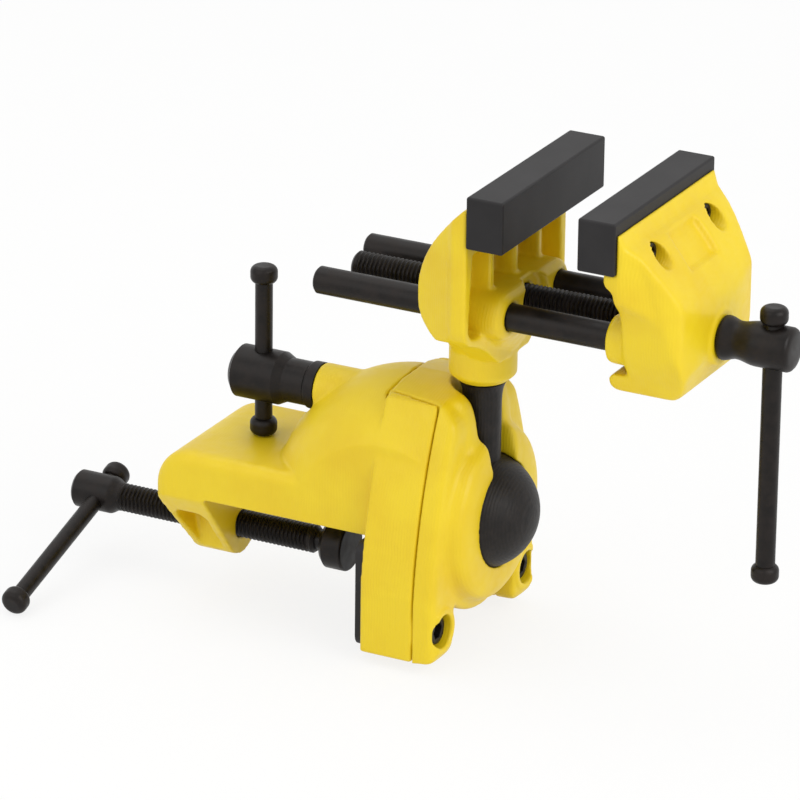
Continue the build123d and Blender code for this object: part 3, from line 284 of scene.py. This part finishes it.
def cast_skin(node, grid, soft, worn=0.0, held=None, pressed=None):
    """Copy of a casting whose edges are round, as a sand mould leaves them, all in mm.

    Edges wear round over soft, and over worn too where held, which takes a place, is near 0.
    The mould stands deeper by what pressed gives for a place.
    """
    mesh = evaluated(NODES[node].data.copy(), ("REMESH", {"mode": "VOXEL", "voxel_size": mm(grid)}))
    if pressed:
        sunk = [vert.co - vert.normal * mm(pressed(vert.co / MM)) for vert in mesh.vertices]
        for vert, place in zip(mesh.vertices, sunk):
            vert.co = place
    worn_rounds, soft_rounds = (round(ROUNDS_A_STEP * reach**2 / grid**2) for reach in (worn, soft))
    wear, free = [], None
    if held:
        free = [1.0 - clamped(held(vert.co / MM)) for vert in mesh.vertices]
        wear = [("SMOOTH", {"factor": 0.5, "iterations": worn_rounds, "vertex_group": "free"})]
    return evaluated(
        mesh,
        *wear,
        ("SMOOTH", {"factor": 0.5, "iterations": soft_rounds}),
        ("DECIMATE", {"ratio": 0.5}),
        weights=free,
    )


def near_line(place, y, z, radius, fade):
    """1 within radius of a line along X, falling to 0 over fade."""
    return 1.0 - ((place - Vector((place.x, y, z))).length - radius) / fade


def held_cover(place):
    """The cover keeps its seat on the ball, its screw pockets and its joint with the frame."""
    pocket_y = math.copysign(POCKET_OUT, place.y)
    return max(
        1.0 - ((place - BALL).length - SEAT_HELD) / SEAT_FADE,
        near_line(place, pocket_y, POCKET_UP, POCKET_HELD, POCKET_FADE),
        1.0 - (place.x - JOINT_HELD) / JOINT_FADE,
    )


def moving_jaw_fields():
    """Two fields on the moving jaw: where its creases are held, and how deep its panel is pressed."""
    rod_low, rod_high = box_in_mm("guide_rod_near")
    hub_z = (rod_low.z + rod_high.z) / 2  # the rods and the vise screw lie at one height
    screw_low, screw_high = box_in_mm("moving_pad_screws")
    screw_y, screw_z = screw_high.y - PAD_SCREW_HEAD, (screw_low.z + screw_high.z) / 2
    pad_low, pad_high = box_in_mm("moving_jaw_pad")

    def held(place):
        pad_seat = 1.0 - (place.x - pad_high.x - PAD_SEAT_HELD) / PAD_SEAT_FADE
        crest = 1.0 - (abs(place.y) - CREST_HELD) / CREST_FADE
        return max(
            near_line(place, 0.0, hub_z, HUB_BORE_HELD, BORE_FADE),
            near_line(place, math.copysign(screw_y, place.y), screw_z, PAD_SCREW_HELD, BORE_FADE),
            pad_seat if place.z > pad_low.z - PAD_MARGIN else 0.0,
            crest if place.z > CREST_FOOT else 0.0,
        )

    def pressed(place):
        inside = min(
            PANEL_HALF - abs(place.y), place.z - PANEL_FOOT, place.x - pad_high.x - PANEL_BACK
        )
        return PANEL_DEEPER * clamped(inside / PANEL_WALL)

    return held, pressed


# ------------------------------------------------------------------ sizes and colours
class CastingFinish(bpy.types.PropertyGroup):
    enamel: bpy.props.StringProperty(
        name="Enamel", description="Enamel colour as sRGB hex", default="#E9CB18"
    )
    enamel_thin: bpy.props.StringProperty(
        name="Thin enamel",
        description="Colour where the enamel runs thin, as sRGB hex",
        default="#E2C012",
    )
    roughness: bpy.props.FloatProperty(
        name="Roughness",
        description="Roughness of the dry enamel",
        default=0.42,
        min=0.0,
        max=1.0,
        subtype="FACTOR",
    )
    ripple: bpy.props.FloatProperty(
        name="Ripple spacing",
        description="Distance between the mould's fine lines",
        default=0.001,
        min=0.0001,
        precision=5,
        unit="LENGTH",
    )


class SpindleFinish(bpy.types.PropertyGroup):
    oxide: bpy.props.StringProperty(
        name="Oxide", description="Black oxide colour as sRGB hex", default="#14100E"
    )
    oxide_thin: bpy.props.StringProperty(
        name="Thin oxide", description="Colour where the oxide is thin, as sRGB hex", default="#221C19"
    )
    pitch: bpy.props.FloatProperty(
        name="Thread pitch",
        description="Distance that a screw moves in one turn",
        default=0.0015,
        min=0.0005,
        precision=5,
        unit="LENGTH",
    )
    depth: bpy.props.FloatProperty(
        name="Thread depth",
        description="Depth of the thread's cut",
        default=0.00085,
        min=0.0,
        precision=5,
        unit="LENGTH",
    )
    around: bpy.props.IntProperty(
        name="Steps round", description="Mesh steps round a spindle", default=48, min=12
    )


class BallFinish(bpy.types.PropertyGroup):
    paint: bpy.props.StringProperty(
        name="Paint", description="Flat black paint colour as sRGB hex", default="#14100E"
    )
    paint_thin: bpy.props.StringProperty(
        name="Thin paint", description="Colour where the paint is thin, as sRGB hex", default="#201B18"
    )
    ripple: bpy.props.FloatProperty(
        name="Ripple spacing",
        description="Distance between the fine lines round the ball",
        default=0.0009,
        min=0.0001,
        precision=5,
        unit="LENGTH",
    )


class PadFinish(bpy.types.PropertyGroup):
    rubber: bpy.props.StringProperty(
        name="Rubber", description="Rubber colour as sRGB hex", default="#181617"
    )
    bloom: bpy.props.StringProperty(
        name="Bloom", description="Colour of the rubber's pale bloom as sRGB hex", default="#201E1F"
    )
    grain: bpy.props.FloatProperty(
        name="Grain",
        description="Grain of the moulded rubber",
        default=0.0006,
        min=0.0001,
        precision=5,
        unit="LENGTH",
    )


class StageLook(bpy.types.PropertyGroup):
    paper: bpy.props.StringProperty(
        name="Paper", description="Floor colour as sRGB hex", default="#F4F4F2"
    )
    fibre: bpy.props.StringProperty(
        name="Fibre", description="Colour of the paper's fibres as sRGB hex", default="#F8F8F7"
    )
    whitened: bpy.props.FloatProperty(
        name="Whitened",
        description="How much of the floor is plain white where it is seen directly",
        default=0.82,
        min=0.0,
        max=1.0,
        subtype="FACTOR",
    )
    key: bpy.props.FloatProperty(
        name="Key light", description="Power of the key light", default=8.0, unit="POWER"
    )
    fill: bpy.props.FloatProperty(
        name="Fill light", description="Power of the fill light", default=2.5, unit="POWER"
    )
    top: bpy.props.FloatProperty(
        name="Top light", description="Power of the top light", default=3.0, unit="POWER"
    )
    sky: bpy.props.FloatProperty(
        name="Sky", description="Strength of the surrounding light", default=0.75
    )


# ------------------------------------------------------------------ materials
def blank_material(name, even):
    """A material that is only its shader, with its even values set, and the place on the object."""
    material = bpy.data.materials.new(name)
    material.use_nodes = True
    tree = material.node_tree
    tree.nodes.clear()
    shader = add_node(tree, "BsdfPrincipled", even)
    add_node(tree, "OutputMaterial", {"Surface": shader.outputs[0]})
    place = add_node(tree, "TexCoord").outputs["Object"]
    return material, tree, shader, place


def two_tone(tree, shader, pattern, start, end, first, second):
    """Runs the base colour from one hex colour to another as a pattern goes from start to end."""
    share = add_node(
        tree, "MapRange", {"Value": pattern.outputs["Fac"], "From Min": start, "From Max": end}
    )
    tone = add_node(
        tree,
        "Mix",
        {"Factor": share.outputs[0], MIX_A: hex_colour(first), MIX_B: hex_colour(second)},
        data_type="RGBA",
    )
    tree.links.new(tone.outputs[MIX_RESULT], shader.inputs["Base Color"])


def uneven_gloss(tree, shader, pattern, least, most):
    """Takes the roughness from least to most over the middle of a pattern's range."""
    levels = {"From Min": 0.3, "From Max": 0.7, "To Min": least, "To Max": most}
    rough = add_node(tree, "MapRange", {"Value": pattern.outputs["Fac"], **levels})
    tree.links.new(rough.outputs[0], shader.inputs["Roughness"])


def relief(tree, shader, layers, edge=None):
    """Bumps the surface by patterns laid one on another, and rounds its edges over edge, in mm.

    Each layer is a pattern, its strength and its depth in mm.
    """
    inputs = {}
    for pattern, strength, depth in layers:
        inputs |= {"Height": pattern.outputs["Fac"], "Strength": strength, "Distance": mm(depth)}
        inputs["Normal"] = add_node(tree, "Bump", inputs).outputs[0]
    normal = inputs["Normal"]
    if edge:
        normal = add_node(tree, "Bevel", {"Radius": mm(edge), "Normal": normal}, samples=6).outputs[0]
    tree.links.new(normal, shader.inputs["Normal"])


def seen_directly(tree):
    """1 where the camera, a mirror or glass looks, and 0 where the light only falls on something."""
    path = add_node(tree, "LightPath")
    seen = path.outputs["Is Camera Ray"]
    for ray in ("Is Glossy Ray", "Is Transmission Ray"):
        seen = add_node(tree, "Math", {0: seen, 1: path.outputs[ray]}, operation="MAXIMUM").outputs[0]
    return seen


def enamel_on_cast_iron(look):
    """Stove enamel over sand-cast iron: the casting shows through as soft waves and fine lines."""
    material, tree, shader, place = blank_material(
        "enamel_on_cast_iron", {"IOR": 1.5, "Specular IOR Level": 0.45}
    )
    clouds = add_node(tree, "TexNoise", {"Vector": place, "Scale": grain_scale(22), "Detail": 3.0})
    two_tone(tree, shader, clouds, 0.42, 0.72, look.enamel, look.enamel_thin)
    speckle = add_node(tree, "TexNoise", {"Vector": place, "Scale": grain_scale(3.0), "Detail": 2.0})
    uneven_gloss(tree, shader, speckle, look.roughness - 0.06, look.roughness + 0.08)
    swell = add_node(tree, "TexNoise", {"Vector": place, "Scale": grain_scale(9.0), "Detail": 1.0})
    ripples = add_node(
        tree,
        "TexWave",
        {
            "Vector": place,
            "Scale": wave_scale(look.ripple / MM),
            "Distortion": 9.0,
            "Detail": 2.0,
            "Detail Scale": 0.25,
        },
        bands_direction="X",
    )
    # The sand's grain, a few tenths of a millimetre, is too fine to show, so it is drawn at 1.4 mm.
    sand = add_node(tree, "TexNoise", {"Vector": place, "Scale": grain_scale(1.4), "Detail": 3.0})
    relief(tree, shader, [(swell, 0.25, 0.6), (ripples, 0.35, 0.1), (sand, 0.2, 0.12)], edge=0.7)
    return material


def black_oxide_steel(look):
    """Turned steel, hot-blacked and oiled: even charcoal, faintly mottled, with a dull sheen."""
    material, tree, shader, place = blank_material(
        "black_oxide_steel", {"Metallic": 0.35, "Specular IOR Level": 0.34}
    )
    mottle = add_node(tree, "TexNoise", {"Vector": place, "Scale": grain_scale(4.0), "Detail": 4.0})
    two_tone(tree, shader, mottle, 0.35, 0.7, look.oxide, look.oxide_thin)
    uneven_gloss(tree, shader, mottle, 0.34, 0.5)
    # The oxide's grain is too fine to show, so it is drawn at 0.9 mm.
    grain = add_node(tree, "TexNoise", {"Vector": place, "Scale": grain_scale(0.9), "Detail": 2.0})
    relief(tree, shader, [(grain, 0.15, 0.06)], edge=0.3)
    return material


def black_painted_cast_iron(look):
    """Shell-cast iron, painted flat black: fine lines round the ball and a soft broken highlight."""
    material, tree, shader, place = blank_material(
        "black_painted_cast_iron", {"Roughness": 0.5, "Specular IOR Level": 0.28}
    )
    mottle = add_node(tree, "TexNoise", {"Vector": place, "Scale": grain_scale(3.0), "Detail": 4.0})
    two_tone(tree, shader, mottle, 0.35, 0.7, look.paint, look.paint_thin)
    ripples = add_node(
        tree,
        "TexWave",
        {"Vector": place, "Scale": wave_scale(look.ripple / MM), "Distortion": 3.0, "Detail": 2.0},
        bands_direction="X",
    )
    # The shell's pits are too fine to show, so they are drawn at 1.2 mm.
    pits = add_node(tree, "TexNoise", {"Vector": place, "Scale": grain_scale(1.2), "Detail": 3.0})
    relief(tree, shader, [(ripples, 0.35, 0.15), (pits, 0.35, 0.2)])
    return material


def moulded_nitrile_rubber(look):
    """Compression-moulded nitrile rubber: charcoal, matt, with an even fine grain."""
    material, tree, shader, place = blank_material(
        "moulded_nitrile_rubber", {"Roughness": 0.55, "Specular IOR Level": 0.34}
    )
    bloom = add_node(tree, "TexNoise", {"Vector": place, "Scale": grain_scale(14.0), "Detail": 3.0})
    two_tone(tree, shader, bloom, 0.35, 0.7, look.rubber, look.bloom)
    # The mould's grain is too fine to show, so it is drawn at 0.6 mm.
    grain = add_node(
        tree, "TexNoise", {"Vector": place, "Scale": grain_scale(look.grain / MM), "Detail": 2.0}
    )
    relief(tree, shader, [(grain, 0.25, 0.08)], edge=0.5)
    return material


def background_paper(look):
    """Seamless background paper: near white and dead matt."""
    material, tree, shader, place = blank_material("background_paper", {"Roughness": 0.9})
    fibre = add_node(tree, "TexNoise", {"Vector": place, "Scale": grain_scale(30.0), "Detail": 3.0})
    two_tone(tree, shader, fibre, 0.0, 1.0, look.paper, look.fibre)
    # Most of it is plain white where it is seen directly, and the rest keeps the shadow.
    share = add_node(tree, "MapRange", {"Value": seen_directly(tree), "To Max": look.whitened})
    white = add_node(tree, "Emission", {"Color": hex_colour("#FFFFFF"), "Strength": 1.0})
    both = add_node(tree, "MixShader", {0: share.outputs[0], 1: shader.outputs[0], 2: white.outputs[0]})
    out = next(node for node in tree.nodes if node.type == "OUTPUT_MATERIAL")
    tree.links.new(both.outputs[0], out.inputs["Surface"])
    return material


# ------------------------------------------------------------------ stage
def lay_floor(scene, look, drop=0.2, half=4.0):
    """A paper floor of half this size in metres, a drop in mm under the vise's lowest point."""
    shape = bmesh.new()
    bmesh.ops.create_grid(shape, x_segments=1, y_segments=1, size=half)
    mesh = bpy.data.meshes.new("floor")
    shape.to_mesh(mesh)
    shape.free()
    mesh.materials.append(background_paper(look))
    floor = bpy.data.objects.new("floor", mesh)
    floor.location = (0.0, 0.0, CAD_BOX[0].z - mm(drop))
    scene.collection.objects.link(floor)


def soft_room(look):
    """Soft light from all round, plain white where it is seen directly."""
    world = bpy.data.worlds.new("soft_room")
    world.use_nodes = True
    tree = world.node_tree
    tree.nodes.clear()
    strength = add_node(
        tree, "MapRange", {"Value": seen_directly(tree), "To Min": look.sky, "To Max": 1.0}
    )
    walls = add_node(
        tree, "Background", {"Color": hex_colour("#FFFFFF"), "Strength": strength.outputs[0]}
    )
    add_node(tree, "OutputWorld", {"Surface": walls.outputs[0]})
    return world


def hang_softboxes(scene, look):
    """Square soft lights, placed and sized in metres, that face the middle of the vise."""
    aim = (CAD_BOX[0] + CAD_BOX[1]) / 2
    for name, at, size, power in (
        ("key_softbox", (1.25, -0.3, 0.8), 0.9, look.key),
        ("fill_softbox", (-0.5, -1.1, 0.75), 1.0, look.fill),
        ("top_softbox", (-0.45, 0.1, 1.3), 1.0, look.top),
    ):
        lamp = bpy.data.lights.new(name, "AREA")
        lamp.shape = "SQUARE"
        lamp.size = size
        lamp.energy = power
        holder = bpy.data.objects.new(name, lamp)
        holder.location = Vector(at)
        holder.rotation_euler = (aim - Vector(at)).to_track_quat("-Z", "Y").to_euler()
        scene.collection.objects.link(holder)


def set_camera(scene):
    lens = bpy.data.cameras.new("camera")
    lens.sensor_width = CAMERA_SENSOR
    lens.lens = CAMERA_LENS
    lens.clip_start = 0.1
    lens.clip_end = 20.0
    camera = bpy.data.objects.new("camera", lens)
    place = Matrix((CAMERA_RIGHT, CAMERA_UP, CAMERA_BACK)).transposed().to_4x4()
    right, up, back = CAMERA_AT
    place.translation = (
        Vector([mm(value) for value in BALL])
        + CAMERA_RIGHT * mm(right)
        + CAMERA_UP * mm(up)
        + CAMERA_BACK * mm(back)
    )
    camera.matrix_world = place
    scene.collection.objects.link(camera)
    scene.camera = camera


# ------------------------------------------------------------------ operators
class VISE_OT_castings(bpy.types.Operator):
    """Cast and enamel the four castings"""

    bl_idname = "vise.castings"
    bl_label = "Castings"

    def execute(self, context):
        enamel = enamel_on_cast_iron(context.scene.vise_castings)
        held_jaw, pressed_jaw = moving_jaw_fields()
        jaw_skin = {"grid": 0.6, "soft": 0.7, "worn": 1.6, "held": held_jaw, "pressed": pressed_jaw}
        for node, body, skin in (
            ("clamp_frame", "base", {"grid": 0.6, "soft": 0.7}),
            ("ball_cover", "base", {"grid": 0.45, "soft": 0.6, "worn": 2.0, "held": held_cover}),
            ("fixed_jaw", "head", {"grid": 0.6, "soft": 0.7}),
            ("moving_jaw", "jaw", jaw_skin),
        ):
            skin_mesh = cast_skin(node, **skin)
            finish_piece(node + "_cast", skin_mesh, enamel, body, node, CASTING_SHARP)
        return {"FINISHED"}


class VISE_OT_steel(bpy.types.Operator):
    """Black the rods, bars, screws and washers"""

    bl_idname = "vise.steel"
    bl_label = "Steel parts"

    def execute(self, context):
        steel = black_oxide_steel(context.scene.vise_spindles)
        for node in (
            "cover_screws",
            "lock_washer",
            "lock_screw",
            "lock_bar",
            "lock_bar_knobs",
            "clamp_foot",
            "clamp_screw",
            "clamp_bar",
            "clamp_bar_knobs",
            "fixed_pad_screws",
            "moving_pad_screws",
            "guide_rod_near",
            "guide_rod_far",
            "thrust_washer",
            "vise_screw",
            "retaining_ring",
            "vise_bar",
            "vise_bar_knobs",
        ):
            dress(node, steel)
        return {"FINISHED"}


class VISE_OT_threads(bpy.types.Operator):
    """Cut the threads of the vise screw and the clamp screw"""

    bl_idname = "vise.threads"
    bl_label = "Threaded spindles"

    def execute(self, context):
        look = context.scene.vise_spindles
        steel = bpy.data.materials["black_oxide_steel"]
        pitch, depth = look.pitch / MM, look.depth / MM

        def groove(x, turn):
            """Depth of a V-shaped cut with a narrow flat crest and root."""
            from_crest = 1.0 - abs(2.0 * ((x / pitch - turn) % 1.0) - 1.0)
            return depth * clamped(1.3 * from_crest - 0.15)

        low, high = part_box("vise_screw")
        vise_z = (low.z + high.z) / 2 / MM
        vise_shank = [
            (-18.4, 4.1),  # bevelled tip
            *cut_thread(-17.5, 96.4, 5.0, pitch),
            (97.0, 5.0),
            (97.0, 4.6),  # groove for the retaining ring
            (98.2, 4.6),
            (98.2, 5.0),
            (100.05, 5.0),  # shoulder that turns on the thrust washer
            (100.05, 5.5),
            (111.3, 5.5),
        ]
        vise_hub = [
            (111.3, 5.4),
            (111.3, 6.8),
            (111.5, 7.1),
            (112.1, 7.2),  # collar
            *eased((112.1, 7.2), (116.6, 6.1), 8),  # waist
            *eased((116.6, 6.1), (123.4, 7.2), 10),
            (133.9, 7.2),  # rounded end
            (134.6, 6.9),
            (135.2, 6.2),
            (135.5, 5.0),
            (135.6, 3.0),
        ]
        clamp_shank = [
            *cut_thread(-105.8, -32.7, 4.75, pitch),
            (-31.5, 3.8),
            (-31.5, 3.3),  # neck that the foot turns on
            (-24.3, 3.3),
        ]
        clamp_hub = [
            (-122.9, 4.4),  # rounded end
            (-122.6, 5.4),
            (-121.7, 6.3),
            (-109.3, 6.3),
            *eased((-109.3, 6.3), (-105.8, 4.75), 6),
            (-105.0, 4.0),
        ]
        clamp_bar_tilt = math.radians(17.3)
        across_clamp = (0, math.cos(clamp_bar_tilt), math.sin(clamp_bar_tilt))
        for node, body, z, shank, hub, bar_x, bar_axis, bar_radius in (
            ("vise_screw", "screw", vise_z, vise_shank, vise_hub, 128.05, (0, 0, 1), 3.2),
            ("clamp_screw", "clamp", 0.0, clamp_shank, clamp_hub, -113.6, across_clamp, 2.95),
        ):
            shank_mesh = turned("shank", shank, z, look.around, groove)
            hub_mesh = turned("hub", hub, z, look.around)
            hub_mesh = bored(hub_mesh, (bar_x, 0.0, z), bar_axis, bar_radius)
            spindle = joined(shank_mesh, hub_mesh)
            finish_piece(node + "_threaded", spindle, steel, body, node)
        return {"FINISHED"}


class VISE_OT_socket_screws(bpy.types.Operator):
    """Set the socket screws of the cover and the jaw pads"""

    bl_idname = "vise.socket_screws"
    bl_label = "Socket screws"

    def execute(self, context):
        steel = bpy.data.materials["black_oxide_steel"]
        around = 36
        shank_radius, tail_bevel = 2.5, 0.6
        mouth_bevel, socket_floor = 0.25, 0.6
        for node, body, facing, head_radius, head_height, half_key in (
            ("cover_screws", "base", 1, 4.6, 3.4, 2.6),
            ("fixed_pad_screws", "head", -1, PAD_SCREW_HEAD, 2.4, 2.1),
            ("moving_pad_screws", "jaw", 1, PAD_SCREW_HEAD, 2.4, 2.1),
        ):
            low, high = box_in_mm(node)
            tail, top = (low.x, high.x) if facing > 0 else (high.x, low.x)
            spread = (high.y - low.y) / 2 - head_radius
            socket = hexagon(half_key)
            stations = [
                (tail, shank_radius - tail_bevel),
                (tail + facing * tail_bevel, shank_radius),
                (top - facing * head_height, shank_radius),
                (top - facing * head_height, head_radius),
                (top - facing * 0.4, head_radius),  # rounded rim
                (top - facing * 0.1, head_radius - 0.15),
                (top, head_radius - 0.5),
                (top, lambda turn, socket=socket: socket(turn) + mouth_bevel),
                (top - facing * mouth_bevel, socket),
                (top - facing * (head_height - socket_floor), socket),
            ]
            shape = bmesh.new()
            for side in (-1, 1):
                spun(shape, stations, (low.z + high.z) / 2, around, middle=side * spread)
            screws = mesh_of(node, shape)
            finish_piece(node + "_socket_heads", screws, steel, body, node)
        return {"FINISHED"}


class VISE_OT_ball(bpy.types.Operator):
    """Paint the ball and its stem"""

    bl_idname = "vise.ball"
    bl_label = "Ball stud"

    def execute(self, context):
        dress("ball_stud", black_painted_cast_iron(context.scene.vise_ball))
        return {"FINISHED"}


class VISE_OT_pads(bpy.types.Operator):
    """Mould the jaw pads and the bench pad"""

    bl_idname = "vise.pads"
    bl_label = "Pads"

    def execute(self, context):
        rubber = moulded_nitrile_rubber(context.scene.vise_pads)
        for node in ("fixed_jaw_pad", "moving_jaw_pad", "clamp_face_pad"):
            dress(node, rubber)
        return {"FINISHED"}


class VISE_OT_stage(bpy.types.Operator):
    """Set the floor, the lights and the camera"""

    bl_idname = "vise.stage"
    bl_label = "Stage"

    def execute(self, context):
        scene, look = context.scene, context.scene.vise_stage
        scene.view_settings.view_transform = "Standard"
        lay_floor(scene, look)
        scene.world = soft_room(look)
        hang_softboxes(scene, look)
        set_camera(scene)
        return {"FINISHED"}


class VISE_PT_panel(bpy.types.Panel):
    """Lists the vise's pieces"""

    bl_idname = "VISE_PT_panel"
    bl_label = "Swivel Vise"
    bl_space_type = "VIEW_3D"
    bl_region_type = "UI"
    bl_category = "Swivel Vise"

    def draw(self, context):
        for made in OPERATORS:
            self.layout.operator(made.bl_idname)


OPERATORS = (
    VISE_OT_stage,
    VISE_OT_castings,
    VISE_OT_steel,
    VISE_OT_threads,
    VISE_OT_socket_screws,
    VISE_OT_ball,
    VISE_OT_pads,
)
GROUPS = {
    "vise_castings": CastingFinish,
    "vise_spindles": SpindleFinish,
    "vise_ball": BallFinish,
    "vise_pads": PadFinish,
    "vise_stage": StageLook,
}
CLASSES = (*GROUPS.values(), *OPERATORS, VISE_PT_panel)


def register():
    for made in CLASSES:
        bpy.utils.register_class(made)
    for name, group in GROUPS.items():
        setattr(bpy.types.Scene, name, bpy.props.PointerProperty(type=group))


def unregister():
    for name in GROUPS:
        delattr(bpy.types.Scene, name)
    for made in reversed(CLASSES):
        bpy.utils.unregister_class(made)


def main():
    register()
    bpy.ops.vise.stage()
    bpy.ops.vise.castings()
    bpy.ops.vise.steel()
    bpy.ops.vise.threads()
    bpy.ops.vise.socket_screws()
    bpy.ops.vise.ball()
    bpy.ops.vise.pads()


if __name__ == "__main__":
    main()
